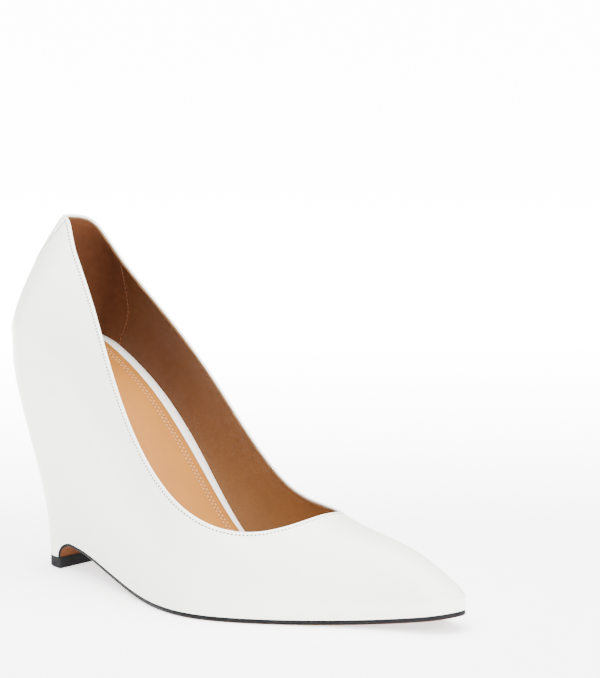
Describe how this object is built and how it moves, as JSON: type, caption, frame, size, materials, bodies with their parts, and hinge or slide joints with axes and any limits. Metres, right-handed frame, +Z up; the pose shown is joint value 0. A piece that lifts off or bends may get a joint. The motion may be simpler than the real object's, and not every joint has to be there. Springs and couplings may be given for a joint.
{
  "type": "wedge shoe",
  "caption": "Pointed white leather pump for the right foot on a high covered wedge with a small heel tip, open at the collar.",
  "frame": {"origin": "middle of the shoe's box, on the floor it stands on", "axes": "+X from heel to toe, +Y to the inner side of the right foot, +Z up"},
  "size_m": [0.23, 0.081, 0.1558],
  "materials": {
    "cover_leather": "smooth, softly glossy",
    "wedge_block": "matt",
    "insole_wrap": "smooth",
    "sock_leather": "smooth, matt",
    "sole_leather": "black edge, tan tread",
    "tip_rubber": "matt"
  },
  "bodies": {
    "root": {"upper": "cover_leather", "wedge": "wedge_block", "insole": "insole_wrap", "sock": "sock_leather", "outsole": "sole_leather", "heel_tip": "tip_rubber"}
  },
  "joints": []
}
